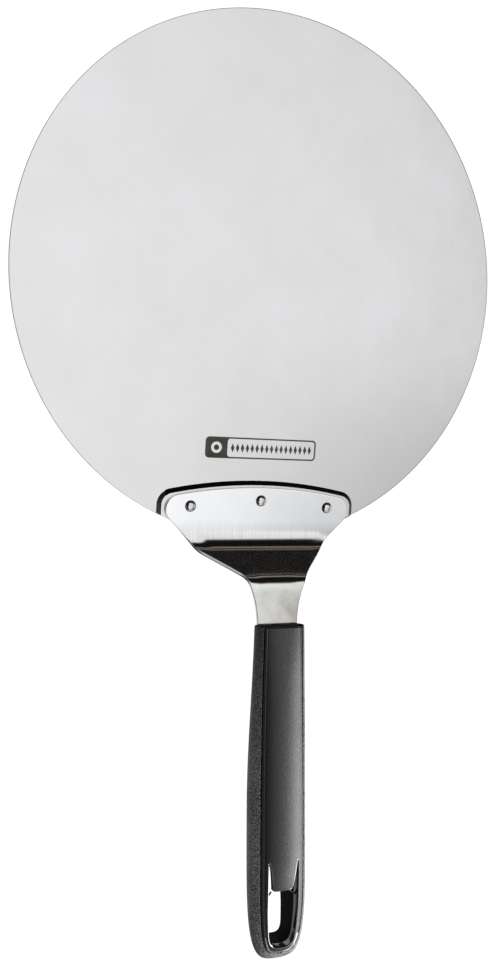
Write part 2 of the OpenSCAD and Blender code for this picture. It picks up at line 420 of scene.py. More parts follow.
def darken_neck_and_bend(material):
    """Warm, darker steel on the neck as painted shade, deepest towards its right side,
    and darker streaks over the lower bend.
    """
    tree = material.node_tree
    shader = tree.nodes["Principled BSDF"]
    flat = tree.nodes.new("ShaderNodeUVMap")
    flat.uv_map = "grain"
    parts = tree.nodes.new("ShaderNodeSeparateXYZ")
    link(tree, flat.outputs["UV"], parts.inputs["Vector"])
    across, along_sheet = parts.outputs["X"], parts.outputs["Y"]
    # The grain's second coordinate is minus the developed length, in metres.
    neck, half = -BEND_4 * MM, NECK_HALF * MM
    # Painted shade on the neck, deeper towards its right side and broken into patches.
    reach = spread(tree, along_sheet, 0, 1, neck + 0.006, neck - 0.002)
    side = spread(tree, across, 0.6, 1, -half, half * 0.6)
    place = tree.nodes.new("ShaderNodeTexCoord").outputs["Object"]
    patches = spread(tree, noise(tree, place, 95.0, 3.0, 0.5), 0.62, 1.08, 0.3, 0.7)
    painted_shade = times(tree, times(tree, reach, side), patches)
    # Streaks from just before the lower bend to its end.
    before = spread(tree, along_sheet, 0, 1, -0.018, -0.0265)
    after = spread(tree, along_sheet, 1, 0, -0.034, -0.038)
    grain = noise(tree, flat.outputs["UV"], 1.0, 2.0, 0.5, (1100, 30, 1))
    streaks = spread(tree, grain, 0.6, 1, 0.35, 0.65)
    bend_streaks = times(tree, times(tree, before, after), streaks)
    amount = plus(tree, painted_shade, times(tree, bend_streaks, 0.42))
    node = tree.nodes.new("ShaderNodeMix")
    node.data_type = "RGBA"
    old = shader.inputs["Base Color"].links[0].from_socket
    link(tree, amount, node.inputs["Factor"])
    link(tree, old, node.inputs["A"])
    node.inputs["B"].default_value = (0.365, 0.352, 0.312, 1)
    link(tree, node.outputs["Result"], shader.inputs["Base Color"])


def grey(value):
    return (value, value, value)


def plastic(
    name, dark, light, rough, rough_spread, grain_mm, depth, strength, level,
    speckle, painted_shade=0,
):
    """Moulded plastic: fine skin texture, faint cloudiness and rubbed patches.

    depth and strength are the grain's bump, level the specular level, speckle the
    grain's share of the colour, and the last argument how much darker the front of the
    handle is painted, as painted shade."""
    material, tree, shader = new_material(name)
    place = tree.nodes.new("ShaderNodeTexCoord").outputs["Object"]
    grain = noise(tree, place, 1000 / grain_mm, 2.0, 0.5)
    wear = noise(tree, place, 45.0, 4.0, 0.6)
    speckles = spread(tree, grain, 0, speckle, 0.38, 0.66)
    tone = plus(tree, spread(tree, wear, 0, 1 - speckle), speckles)
    parts = tree.nodes.new("ShaderNodeSeparateXYZ")
    link(tree, place, parts.inputs["Vector"])
    # Painted shade: the colour is darker at the front of the handle and pales towards
    # its middle.
    front_shade_ramp = spread(tree, parts.outputs["Y"], 1 - painted_shade, 1, -0.185, -0.255)
    colour = two_colours(tree, times(tree, tone, front_shade_ramp), dark, light)
    link(tree, colour, shader.inputs["Base Color"])
    rubbed = spread(tree, wear, rough + rough_spread, rough - rough_spread)
    skin = spread(tree, grain, -rough_spread / 2, rough_spread / 2)
    roughness = plus(tree, rubbed, skin)
    link(tree, roughness, shader.inputs["Roughness"])
    shader.inputs["Specular IOR Level"].default_value = level
    bump(tree, shader, grain, strength, depth)
    return material


brushed = steel(
    "brushed_blade", (0.652, 0.650, 0.643), (0.676, 0.678, 0.686),
    rough=0.21, cloud=0.014, streak_bump=0.10, anisotropy=0.3,
)
# Near-black steel painted where shade falls: on the pressed seat's wall and on the
# rivet heads' rims.
shade_steel = steel(
    "painted_shade_steel", (0.02, 0.0195, 0.019), (0.035, 0.034, 0.033),
    rough=0.3, cloud=0.03, streak_bump=0.05, anisotropy=0,
)
polished = steel(
    "polished_bracket", (0.785, 0.79, 0.80), (0.845, 0.855, 0.87),
    rough=0.125, cloud=0.02, streak_bump=0.12, anisotropy=0.3,
)
darken_neck_and_bend(polished)
rivet_steel = steel(
    "rivet_head_steel", grey(0.60), grey(0.68),
    rough=0.14, cloud=0.03, streak_bump=0.05, anisotropy=0,
)
etched = steel(
    "etched_badge", (0.07, 0.065, 0.058), (0.13, 0.122, 0.11),
    rough=0.45, cloud=0.05, streak_bump=0.1, anisotropy=0,
)
gloss = plastic(
    "satin_gloss_black", grey(0.001), grey(0.009),
    rough=0.41, rough_spread=0.04, grain_mm=0.7, depth=0.00015,
    strength=0.9, level=0.46, speckle=0.6,
)
gloss_edge = plastic(
    "polished_black_edge", grey(0.006), grey(0.012),
    rough=0.15, rough_spread=0.03, grain_mm=0.8, depth=0.00002,
    strength=0.1, level=1.0, speckle=0.3,
)
# A clear coat gives the polished edge its thin bright lines.
edge_shader = gloss_edge.node_tree.nodes["Principled BSDF"]
for socket, value in (("Weight", 0.55), ("Roughness", 0.12), ("IOR", 2.6)):
    edge_shader.inputs["Coat " + socket].default_value = value
soft = plastic(
    "soft_touch_black", (0.016, 0.016, 0.0158), (0.32, 0.32, 0.315),
    rough=0.54, rough_spread=0.06, grain_mm=0.8, depth=0.0003,
    strength=0.9, level=0.4, speckle=0.85, painted_shade=0.75,
)
core_plastic = plastic(
    "core_black", grey(0.008), grey(0.014),
    rough=0.6, rough_spread=0.05, grain_mm=0.7, depth=0.00004,
    strength=0.3, level=0.05, speckle=0.3,
)


def settle(piece, slot, *nodes):
    """Every piece rides on the part's one body and hides the CAD nodes it stands for.
    """
    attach(piece, BODY)
    if nodes:
        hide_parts(*nodes)
    return piece


# -------------------------------- blade
def seat_depth(x, y):
    """How far a point of the plan lies inside the pressed seat's outline."""
    x = abs(x)
    core_half = SEAT_HALF - SEAT_CORNER
    core_r = SEAT_R - SEAT_CORNER
    corner_y = ARC_Y + math.sqrt(core_r**2 - core_half**2)
    turn = math.atan2(x, y - ARC_Y)
    if turn <= math.asin(core_half / core_r):
        away = math.hypot(x, y - ARC_Y) - core_r
        if x > core_half - SEAT_CORNER:
            away = max(away, x - core_half)
    elif y <= corner_y:
        away = x - core_half
    else:
        away = math.hypot(x - core_half, y - corner_y)
    return SEAT_CORNER - away


def press(t):
    """The wall's height from 0 to 1: straight, with a fillet at each end."""
    t = clamp(t)
    fillet = 0.14
    slope = 1 / (1 - fillet)
    if t < fillet:
        return slope * t * t / (2 * fillet)
    if t > 1 - fillet:
        return 1 - slope * (1 - t) ** 2 / (2 * fillet)
    return slope * (t - fillet / 2)


def blade_top(x, y):
    return BLADE_T + SEAT_RISE * press(seat_depth(x, y) / SEAT_WALL)


def blade_bottom(x, y):
    return SEAT_RISE * press((seat_depth(x, y) - UNDERSIDE_LAG) / SEAT_WALL)


def seat_line(inset, rim_r):
    """The seat's outline drawn in, from the rim round to the rim."""
    half, big_r, corner = SEAT_HALF - inset, SEAT_R - inset, SEAT_CORNER - inset
    cx = half - corner
    cy = ARC_Y + math.sqrt((big_r - corner) ** 2 - cx * cx)
    turn = math.atan2(cy - ARC_Y, cx)
    side = [(half, -math.sqrt(rim_r**2 - half**2))]
    side += arc_points(cx, cy, corner, 0, turn, 14)
    side += arc_points(0, ARC_Y, big_r, turn, pi / 2, 26)[1:]
    return side + mirrored(side)[1:]


def make_blade():
    # The lines that the pressed wall needs, as insets from the seat's outline.
    insets = [-0.35, 0, 0.08, 0.16, 0.24, 0.33, 0.42, 0.6, 0.9, 1.25, 1.6, 1.9]
    insets += [2.08, 2.17, 2.26, 2.34, 2.42, 2.5, 2.6, 2.72, 2.84, 2.95, 3.2]
    rim = BLADE_R - BLADE_EDGE_R
    closest = 0.0006
    turns = {round(radians(i), 9) for i in range(360)}
    for inset in insets:
        a = math.asin((SEAT_HALF - inset) / rim)
        for crossing in (1.5 * pi - a, 1.5 * pi + a):
            turns = {t for t in turns if abs(t - crossing) > closest}
            turns.add(crossing)
    turns = sorted(turns)

    def circle(r):
        return [(r * cos(t), r * sin(t)) for t in turns]

    lines = [(circle(rim - 0.5), True)]
    lines += [(seat_line(inset, rim), False) for inset in insets]
    plan, triangles, rows = triangulate([circle(rim)], lines, [])
    shape = Shape()
    top = shape.add([(x, y, blade_top(x, y)) for x, y in plan])
    low = shape.add([(x, y, blade_bottom(x, y)) for x, y in plan])
    shape.cap(top, low, triangles)
    last = [top[i] for i in rows[0]]
    for turn in (30, 60, 90):
        a = radians(turn)
        r = rim + BLADE_EDGE_R * sin(a)
        drop = BLADE_EDGE_R * (1 - cos(a))
        edge = [(x, y, blade_top(x, y) - drop) for x, y in circle(r)]
        last = shape.extend(last, edge)
    for turn in (0, 30, 60):
        a = radians(turn)
        r = rim + BLADE_EDGE_R * cos(a)
        rise = BLADE_EDGE_R * (1 - sin(a))
        edge = [(x, y, blade_bottom(x, y) + rise) for x, y in circle(r)]
        last = shape.extend(last, edge)
    shape.strip(last, [low[i] for i in rows[0]])
    blade = shape.make("blade_disc", [brushed, shade_steel], 40)
    # Painted shade: the pressed wall takes the near-black steel, except at its left
    # end, which stays brushed.
    margin = 0.03
    for face in blade.data.polygons:
        x, y = (v / MM for v in face.center[:2])
        on_left = x < SEAT_CORNER / 2 - SEAT_HALF
        if margin < seat_depth(x, y) < SEAT_WALL - margin and not on_left:
            face.material_index = 1
    return settle(blade, "brushed_sheet", "blade")


make_blade()


# -------------------------------- bracket
def path_angle(s):
    if s <= BEND_1:
        return 0.0
    if s <= BEND_2:
        return (s - BEND_1) / LOW_BEND_R
    if s <= BEND_3:
        return WEB_ANGLE
    if s <= BEND_4:
        return WEB_ANGLE - (s - BEND_3) / HIGH_BEND_R
    return TILT


def path_point(s):
    """(y, z) of the bracket's top face at a developed length."""
    y, z = FOOT_Y, FOOT_TOP
    if s <= BEND_1:
        return y - s, z
    y -= BEND_1
    a = path_angle(min(s, BEND_2))
    y -= LOW_BEND_R * sin(a)
    z += LOW_BEND_R * (1 - cos(a))
    if s <= BEND_2:
        return y, z
    run = min(s, BEND_3) - BEND_2
    y -= run * cos(WEB_ANGLE)
    z += run * sin(WEB_ANGLE)
    if s <= BEND_3:
        return y, z
    a = path_angle(min(s, BEND_4))
    y -= HIGH_BEND_R * (sin(WEB_ANGLE) - sin(a))
    z += HIGH_BEND_R * (cos(a) - cos(WEB_ANGLE))
    run = max(s - BEND_4, 0)
    return y - run * cos(TILT), z + run * sin(TILT)


def hump(s, start, end):
    """Smoothly 0 to 1 and back to 0 between two lengths."""
    t = clamp((s - start) / (end - start))
    return sin(pi * t) ** 2


def bend_sag(x, s):
    """How far the sheet lies below its plain bends, which tighten at the flanks."""
    side = smooth((abs(x) - blank_half(s) + SAG_WIDTH) / SAG_WIDTH)
    low = hump(s, BEND_1 - BEND_EASE, BEND_2 + BEND_EASE)
    high = hump(s, BEND_3 - BEND_EASE, BEND_4 + BEND_EASE)
    return side * (LOW_SAG * low - HIGH_SAG * high)


def on_sheet(x, s, depth):
    y, z = path_point(s)
    a = path_angle(s)
    depth += bend_sag(x, s)
    return (x, y - depth * sin(a), z - depth * cos(a))


def blank_half(s):
    if s < SHOULDER_END:
        return FOOT_HALF - (s - SHOULDER_S)
    if s < FLANK_START:
        return FLANK_HALF + (FLANK_START - s) * math.tan(FLANK_ANGLE)
    turn = math.asin(clamp((NECK_END - s) / FLANK_R))
    return NECK_HALF + FLANK_R * (1 - cos(turn))


def bracket_half_outline(rows):
    """Right half of the blank as (x, developed length), tang first."""
    run = SHOULDER_R * math.tan(radians(22.5))
    points = [(NECK_HALF, NECK_END + 6)]
    points += [(blank_half(s), s) for s in reversed(rows) if s > SHOULDER_S + 2.2]
    cx, cs = FOOT_HALF - SHOULDER_R, SHOULDER_S - run
    for i in range(7):
        a = radians(45 - 45 * i / 6)
        points.append((cx + SHOULDER_R * cos(a), cs + SHOULDER_R * sin(a)))
    cx = FOOT_HALF - FOOT_CORNER
    cy = ARC_Y + math.sqrt((FOOT_R - FOOT_CORNER) ** 2 - cx * cx)
    turn = math.atan2(cy - ARC_Y, cx)
    top = arc_points(cx, cy, FOOT_CORNER, 0, turn, 12)
    top += arc_points(0, ARC_Y, FOOT_R, turn, pi / 2, 24)[1:]
    return points + [(x, FOOT_Y - y) for x, y in top]


def make_bracket():
    edge = SHEET_EDGE_R
    # Lengths with a row of points: close together in the bends.
    rows = [BEND_1 - BEND_EASE + BEND_EASE * i / 2 for i in range(2)]
    rows += [BEND_1 + (BEND_2 - BEND_1) * i / 16 for i in range(17)]
    rows += [BEND_3 + (BEND_4 - BEND_3) * i / 14 for i in range(15)]
    rows += [BEND_2 + WEB_L * f for f in (0.25, 0.5, 0.75)]
    rows += [BEND_4 + 3 * i for i in range(1, 7)] + [NECK_END, NECK_END + 3]
    outline_rows = sorted(rows + [SHOULDER_S + 2.6, SHOULDER_S + 5])
    half = bracket_half_outline(outline_rows)
    # The loop is anticlockwise in (x, -s).
    loop = [(x, -s) for x, s in half]
    loop = loop + mirrored(loop)[1:]
    inner = grown(loop, -edge)
    guard = grown(loop, -edge - 0.45)
    spacing = 1.7
    free = []
    for s in rows:
        reach = blank_half(s) - 1.6
        count = max(6, int(2 * reach / spacing))
        free += [(reach * (2 * i / count - 1), -s) for i in range(count + 1)]
    free += [(x, -s) for s in (6, 12, 18) for x in range(-42, 43, 6)]
    plan, triangles, loops = triangulate([inner], [(guard, True)], free)
    shape = Shape()
    top = shape.add([on_sheet(x, -y, 0) for x, y in plan], plan)
    low = shape.add([on_sheet(x, -y, SHEET_T) for x, y in plan], plan)
    shape.cap(top, low, triangles)
    last = [top[i] for i in loops[0]]
    steps = [(sin(a), 1 - cos(a)) for a in map(radians, (30, 60, 90))]
    stations = [(edge * out, edge * drop) for out, drop in steps]
    stations += [(edge * out, SHEET_T - edge * drop) for out, drop in reversed(steps)]
    for out, depth in stations:
        ring = grown(inner, out)
        last = shape.extend(last, [on_sheet(x, -y, depth) for x, y in ring], ring)
    shape.strip(last, [low[i] for i in loops[0]])
    bracket = shape.make("bent_bracket", [polished], 40)
    return settle(bracket, "bracket_sheet", "bracket")


make_bracket()


# -------------------------------- rivets
def revolve(shape, x, y, profile, count=56):
    rows = []
    for r, z in profile:
        angles = [2 * pi * i / count for i in range(count)]
        ring = [(x + r * cos(a), y + r * sin(a), z) for a in angles]
        rows.append(shape.add(ring))
    for a, b in zip(rows, rows[1:]):
        shape.strip(a, b)


def make_rivet(name, node):
    low, high = box_mm(node)
    x, y = (low.x + high.x) / 2, (low.y + high.y) / 2
    head_r = (high.x - low.x) / 2
    head_h = high.z - FOOT_TOP
    profile = [(0, high.z)]
    for i in range(1, HEAD_RINGS + 1):
        share = sin(pi / 2 * i / HEAD_RINGS)
        profile.append((head_r * share, high.z - head_h * share**HEAD_POWER))
    tail_r = head_r - 0.5
    under = FOOT_TOP - 0.05
    profile += [(head_r - 0.12, under), (RIVET_SHANK_R, under)]
    profile += [(RIVET_SHANK_R, SEAT_RISE), (tail_r, SEAT_RISE)]
    profile += [(tail_r, low.z + 0.4), (tail_r - 0.12, low.z + 0.16)]
    profile += [(tail_r - 0.5, low.z + 0.04), (tail_r - 1.2, low.z), (0, low.z)]
    shape = Shape()
    revolve(shape, x, y, profile)
    # Painted shade: the steep rim of the head takes the near-black steel, a dark ring
    # standing in for the shaded gap round the head.
    count = len(shape.faces) // (len(profile) - 1)
    shape.second.update(range(SHADE_FROM_RING * count, (HEAD_RINGS + 1) * count))
    rivet = shape.make(name, [rivet_steel, shade_steel], 50)
    rivet.visible_glossy = False
    return settle(rivet, "rivet_steel", node)


for which in ("left", "middle", "right"):
    make_rivet("rivet_head_" + which, "rivet_" + which)


# -------------------------------- handle form
# Its own frame: x across, l along the axis from the front end, n up.
path_y, path_z = path_point(NECK_END)
HANDLE_Y = path_y - SHEET_T / 2 * sin(TILT)
HANDLE_Z = path_z - SHEET_T / 2 * cos(TILT)
IN_HANDLE = Matrix.Translation((0, HANDLE_Y * MM, HANDLE_Z * MM)) @ Matrix.Rotation(
    -TILT, 4, "X"
)


def wide_n(l):
    return blend(2.6, -0.4, l / 95)


def half_w(l):
    start, power = SIDE_ROUND
    return ease(FRONT_W, PALM_W, l / 100) / 2 * rounding(l, start, HANDLE_L, power)


def crown(l):
    full = ease(CROWN_H - 0.8, CROWN_H, l / 55) - wide_n(l)
    start, power = CROWN_ROUND
    return full * rounding(l, start, HANDLE_L, power)


def belly(l):
    start, power = BELLY_ROUND
    return blend(7.6, BELLY_H, l / 95) * rounding(l, start, HANDLE_L, power)


def crown_power(l):
    return ease(2.9, 2.12, l / 35)


def belly_power(l):
    return blend(2.1, 2.5, l / 90)


def top_n(l, x):
    p = crown_power(l)
    k = min(abs(x) / max(half_w(l), 1e-6), 1)
    return wide_n(l) + crown(l) * (1 - k**p) ** (1 / p)


def panel_half(l):
    start, power = SIDE_ROUND
    full = ease(PANEL_W - 2.6, PANEL_W, l / 100)
    return full / 2 * rounding(l, start, PANEL_END, power)


def outline_point(l, turn, inset):
    up = sin(turn) > 0
    p = crown_power(l) if up else belly_power(l)
    tall = (crown(l) if up else belly(l)) - inset
    wide = half_w(l) - inset
    x = wide * signed_pow(cos(turn), 2 / p)
    return x, wide_n(l) + tall * signed_pow(sin(turn), 2 / p)


def hole_at(n):
    t = (n - HOLE_BOTTOM_N) / (HOLE_TOP_N - HOLE_BOTTOM_N)
    return [b + (a - b) * t for a, b in zip(HOLE_TOP, HOLE_BOTTOM)]


def hole_side(l):
    """Half width of the hole at the top."""
    start, power = HOLE_ROUND
    narrowed = HOLE_TOP[2] - HOLE_NARROWING * smooth((l - 142) / 17)
    return narrowed * rounding(l, start, HOLE_TOP[1], power)


def to_depth(x, l, n):
    """A point of the hole's top outline carried down the hole's tapering wall."""
    start, end, half = hole_at(n)
    share = (l - HOLE_TOP[0]) / (HOLE_TOP[1] - HOLE_TOP[0])
    return x * half / HOLE_TOP[2], start + share * (end - start)


def along(start, end, count):
    """Lengths that crowd together towards the round end."""
    return [start + (end - start) * sin(pi / 2 * i / count) for i in range(count + 1)]


# -------------------------------- grip
def lip_half(l):
    if l >= POCKET_END:
        return 0.0
    start, power = SIDE_ROUND
    gap = PANEL_GAP * rounding(l, start, POCKET_END, power)
    return panel_half(min(l, PANEL_END)) + gap


def grip_section(l, inset):
    """Closed section: over the lips, round the belly and through the pocket."""
    lip = min(lip_half(l), half_w(l) - inset - 0.3)
    lip = max(lip, 0.0)
    round_r = min(LIP_R, lip)
    floor_n = top_n(l, lip) - PANEL_T - 0.15
    p = crown_power(l)
    wide = half_w(l) - inset
    start = math.acos(clamp((min(lip + round_r, wide) / wide) ** (p / 2)))
    right = []
    rim_n = outline_point(l, start, inset)[1]
    if lip > 0:
        right += [(lip * 0.5, floor_n), (lip, floor_n)]
        for turn in (0, 30, 60):
            a = radians(turn)
            point = (lip + round_r * (1 - cos(a)), rim_n - round_r * (1 - sin(a)))
            right.append(point)
    else:
        right += [(0, rim_n)] * 5
    steps = 14
    right += [outline_point(l, start * (1 - i / steps), inset) for i in range(steps)]
    steps = 24
    right += [
        outline_point(l, -pi / 2 * i / steps + 1e-9, inset) for i in range(steps)
    ]
    bottom = outline_point(l, -pi / 2, inset)
    left = [(-x, n) for x, n in reversed(right)]
    return [(0, floor_n if lip > 0 else rim_n)] + right + [(0, bottom[1])] + left


def make_grip():
    edge = GRIP_EDGE_R
    hard_strips = 3
    shape = Shape()
    lengths = []
    for a in map(radians, (0, 20, 40, 60, 78)):
        lengths.append((edge * (1 - cos(a)), edge * (1 - sin(a))))
    lengths += [(edge + 3 * i, 0) for i in range(34)]
    lengths += [(l, 0) for l in along(edge + 103, POCKET_END - 0.02, 34)[1:]]
    lengths += [(l, 0) for l in along(POCKET_END + 0.15, HANDLE_L - 0.02, 10)]
    rows = []
    for l, inset in lengths:
        rows.append(shape.add([(x, -l, n) for x, n in grip_section(l, inset)]))
    shape.loft(rows)
    # The front's face and its rounded edge are the hard moulding.
    shape.second.update(range(hard_strips * len(rows[0])))
    shape.second.add(len(shape.faces) - 2)
    return shape.make("soft_grip", [soft, core_plastic], 30, IN_HANDLE)


def cutter(name, top, bottom, grow):
    """The hang hole's own form, from above the crown to below the belly."""
    shape = Shape()
    start, end, wide = HOLE_TOP
    r = 1.5
    half = []
    for turn in (0, 22, 45, 68):
        a = radians(turn)
        half.append((wide - r * (1 - sin(a)), start + r * (1 - cos(a))))
    half += [(wide, start + 13 * t) for t in (0.5, 1)]
    half += [(hole_side(l), l) for l in along(140, end - 0.001, 30)]
    loop = half + [(-x, l) for x, l in reversed(half)]
    rows = []
    for n in (top, bottom):
        ring = [to_depth(x, l, n) for x, l in loop]
        ring = grown([(x, -l) for x, l in ring][::-1], grow)
        rows.append(shape.add([(x, y, n) for x, y in ring]))
    shape.loft(rows)
    return shape.make(name, [core_plastic], 30, IN_HANDLE)


def cut(piece, tool):
    modifier = piece.modifiers.new("hole", "BOOLEAN")
    modifier.operation = "DIFFERENCE"
    modifier.solver = "EXACT"
    modifier.object = tool
    hard_edge = radians(32)
    bpy.context.view_layer.update()
    graph = bpy.context.evaluated_depsgraph_get()
    mesh = bpy.data.meshes.new_from_object(piece.evaluated_get(graph))
    piece.modifiers.clear()
    piece.data = mesh
    mesh.set_sharp_from_angle(angle=hard_edge)


CUT_TOP, CUT_BOTTOM = 14, -16

grip = make_grip()
hole_tool = cutter("hole_tool", CUT_TOP, CUT_BOTTOM, 0)
cut(grip, hole_tool)
settle(grip, "soft_grip", "handle_grip")


# -------------------------------- core
def make_core():
    shape = Shape()
    rows = []
    for l in [PANEL_FRONT] + [6 * i for i in range(1, 19)] + along(112, POCKET_END, 24):
        lip = min(lip_half(l) + 0.2, half_w(l) - GRIP_T)
        top = top_n(l, lip) - PANEL_T + 0.02
        section = [(lip * i / 4, top) for i in range(5)]
        for i in range(25):
            a = -pi / 2 * i / 24
            x, n = outline_point(l, a + 1e-9, GRIP_T - 0.3)
            section.append((x, min(n, top - 0.02)))
        left = [(-x, n) for x, n in reversed(section[1:-1])]
        rows.append(shape.add([(x, -l, n) for x, n in section + left]))
    shape.loft(rows)
    return shape.make("handle_insert", [core_plastic], 30, IN_HANDLE)


core = make_core()
liner_tool = cutter("liner_tool", CUT_TOP, CUT_BOTTOM, -0.02)
cut(core, liner_tool)
settle(core, "core_plastic", "handle_core")
for tool in (hole_tool, liner_tool):
    bpy.data.objects.remove(tool)


# -------------------------------- panel
# The bead along the panel's edge: distance from the edge, height.
BEAD = [
    (0.0, -PANEL_DROP), (0.05, -0.22), (0.16, -0.06), (0.32, 0.08), (0.52, 0.17),
    (0.72, 0.15), (0.9, 0.06), (1.05, -0.02), (1.25, -0.05), (1.5, -0.02), (1.8, 0.0),
]


def bead_height(distance):
    for (d0, h0), (d1, h1) in zip(BEAD, BEAD[1:]):
        if distance <= d1:
            return h0 + (h1 - h0) * max(distance - d0, 0) / (d1 - d0)
    return 0.0


def tongue_share(l):
    return max(0.0, (l - HOLE_TOP[0]) / TONGUE_L)


def tongue_half(l):
    return HOLE_TOP[2] - 0.5 - 2 * tongue_share(l)


def is_tongue(x, l):
    in_length = HOLE_TOP[0] - 0.5 < l < HOLE_TOP[0] + TONGUE_L + 0.7
    return in_length and abs(x) < tongue_half(l) + 0.12


def panel_outline():
    """Outer edge, anticlockwise in (x, -l)."""
    r = 0.35
    lengths = [PANEL_FRONT + r] + [3 * i for i in range(1, 37)]
    lengths += along(SIDE_ROUND[0], PANEL_END - 0.002, 44)
    side = [(panel_half(l), -l) for l in lengths]
    corner = []
    for a in map(radians, (30, 60)):
        x = side[0][0] - r * (1 - sin(a))
        corner.append((x, -PANEL_FRONT - r * (1 - cos(a))))
    front = [(x, -PANEL_FRONT) for x in (2.5, 5, 7.5, 9.4)]
    half = [(0, -PANEL_FRONT)] + front + corner + side
    left = [(-x, y) for x, y in half[1:]]
    return left + list(reversed(half))


def hole_loop():
    """Edge of the opening round the tongue, anticlockwise in (x, -l)."""
    start, end, half = HOLE_TOP
    tip = start + TONGUE_L
    corner = TONGUE_CORNER
    tongue = [(tongue_half(start + d), start + d) for d in (0.5, 2, 4, 6, 8, 10, 12)]
    edge_x = tongue_half(tip - corner)
    for turn in (0, 22, 45, 68, 90):
        a = radians(turn)
        tongue.append((edge_x - corner * (1 - cos(a)), tip - corner * (1 - sin(a))))
    tongue += [(edge_x - corner - 1.2 * i, tip + 0.12 * i / 3) for i in (1, 2)]
    # The slit beside the tongue ends in a small round.
    slit = [(half - 0.08, start + 0.22), (half - 0.25, start + 0.06)]
    slit.append((half - 0.42, start + 0.22))
    outer = [(half, start + d) for d in (0.5, 2, 4, 6, 8, 10, 13, 16, 19)]
    outer += [(hole_side(l), l) for l in along(141, end - 0.002, 30)]
    right = list(reversed(outer)) + slit + tongue
    left = [(-x, l) for x, l in reversed(right)]
    return [(x, -l) for x, l in right + left]


def distance_to(point, loop, closed=True):
    best = 1e9
    p = Vector(point)
    for i, b in enumerate(loop):
        if i == 0 and not closed:
            continue
        a = Vector(loop[i - 1])
        ab = Vector(b) - a
        if ab.length_squared == 0:
            continue
        t = clamp((p - a).dot(ab) / ab.length_squared)
        best = min(best, (p - a - ab * t).length)
    return best


def panel_height(x, l, edge_distance):
    """Height of the glossy surface, with its edge bead and the dropping tongue."""
    if is_tongue(x, l):
        t = tongue_share(l)
        return top_n(l, x) - TONGUE_DROP * t * t
    front = clamp(1 - (l - PANEL_FRONT) / 0.6)
    height = top_n(min(l, PANEL_END), x) + bead_height(edge_distance)
    return height - PANEL_DROP * front**2


def add_strut(shape, side):
    """A thin moulded bar from under the tongue's corner to the opening's wall."""
    start = Vector((5.0 * side, 135.6, 4.6))
    end = Vector((8.0 * side, 137.7, 5.8))
    run = (end - start).normalized()
    across = run.cross(Vector((0, 0, 1))).normalized()
    up = across.cross(run)
    first = len(shape.faces)
    rows = []
    for share, r in ((0, 0.5), (0.2, 0.42), (0.8, 0.42), (1, 0.5)):
        middle = start + (end - start) * share
        ring = []
        for i in range(12):
            a = 2 * pi * i / 12
            p = middle + across * (r * cos(a)) + up * (r * 1.5 * sin(a))
            ring.append((p.x, -p.y, p.z))
        rows.append(shape.add(ring))
    shape.loft(rows)
    shape.mark_since(first)


def make_panel():
    outer = panel_outline()
    opening = hole_loop()
    fillet = RIM_R
    # The triangles end at the bead's first line and at the opening's rounded rim.
    bead_lines = [grown(outer, -d) for d, _ in BEAD[1:]]
    rim = grown(opening, fillet)
    rim_guard = grown(opening, fillet + 0.22)
    free = []
    for i in range(56):
        l = 3.2 + i * 2.9
        reach = panel_half(l) - 2.1
        for k in range(-9, 10):
            x = reach * k / 9
            p = (x, -l)
            if inside(p, outer) and not inside(p, opening):
                if distance_to(p, opening) > 0.75 and distance_to(p, outer) > 2.0:
                    free.append(p)
    lines = [(line, True) for line in bead_lines[1:]] + [(rim_guard, True)]
    plan, triangles, loops = triangulate([bead_lines[0], rim], lines, free)
    shape = Shape()
    # The bead follows the sides and the end, and not the front.
    beaded = [p for p in outer if p[1] < -PANEL_FRONT - 0.3]
    far = [distance_to(p, beaded, closed=False) for p in plan]
    past_bead = BEAD[-1][0] + 1
    top = shape.add([(x, y, panel_height(x, -y, d)) for (x, y), d in zip(plan, far)])
    plain = [panel_height(x, -y, past_bead) - PANEL_T + PANEL_THIN for x, y in plan]
    low = shape.add([(x, y, n) for (x, y), n in zip(plan, plain)])
    polished_width = 1.3
    for t in triangles:
        if all(far[i] < polished_width and -plan[i][1] > POLISHED_FROM for i in t):
            shape.second.add(len(shape.faces))
        shape.faces.append(tuple(top[i] for i in t))
    shape.faces += [tuple(low[i] for i in reversed(t)) for t in triangles]
    # Outer edge: down the side to the underside.
    last = [top[i] for i in loops[0]]
    for drop in (BEAD[0][1], PANEL_THIN - PANEL_T):
        last = shape.extend(last, [(x, y, top_n(-y, x) + drop) for x, y in outer])
    shape.strip(last, [low[i] for i in loops[0]])
    # Opening: over the rounded rim, down the wall, out and back up behind it.
    heights = [shape.points[top[i]][2] for i in loops[1]]
    on_tongue = [is_tongue(x, -y) for x, y in opening]

    def ring(offset, depth):
        """One row round the opening, depth 0 at the rim and 1 at the wall's foot."""
        points = []
        for (x, y), n, under in zip(grown(opening, offset), heights, on_tongue):
            if under:
                points.append((x, y, n - fillet - (PANEL_T - 0.7) * depth))
            else:
                target = n - fillet + (SKIRT_N - n + fillet) * depth
                x2, l2 = to_depth(x, -y, min(target, HOLE_TOP_N))
                points.append((x2, -l2, target))
        return points

    last = [top[i] for i in loops[1]]
    rim_start = len(shape.faces)
    for turn in (30, 60):
        a = radians(turn)
        out = fillet * (1 - sin(a))
        drop = fillet * (1 - cos(a))
        edge = [(x, y, n - drop) for (x, y), n in zip(grown(opening, out), heights)]
        last = shape.extend(last, edge)
    for depth in (0, 0.25, 0.5, 0.75, 0.97):
        last = shape.extend(last, ring(0, depth))
    shape.mark_since(rim_start)
    for side in (-1, 1):
        add_strut(shape, side)
    for offset in (0.12, 0.5):
        last = shape.extend(last, ring(offset, 1))
    shape.strip(last, [low[i] for i in loops[1]])
    return shape.make("gloss_panel", [gloss, gloss_edge], 30, IN_HANDLE)


panel = make_panel()
settle(panel, "gloss_panel", "handle_panel")


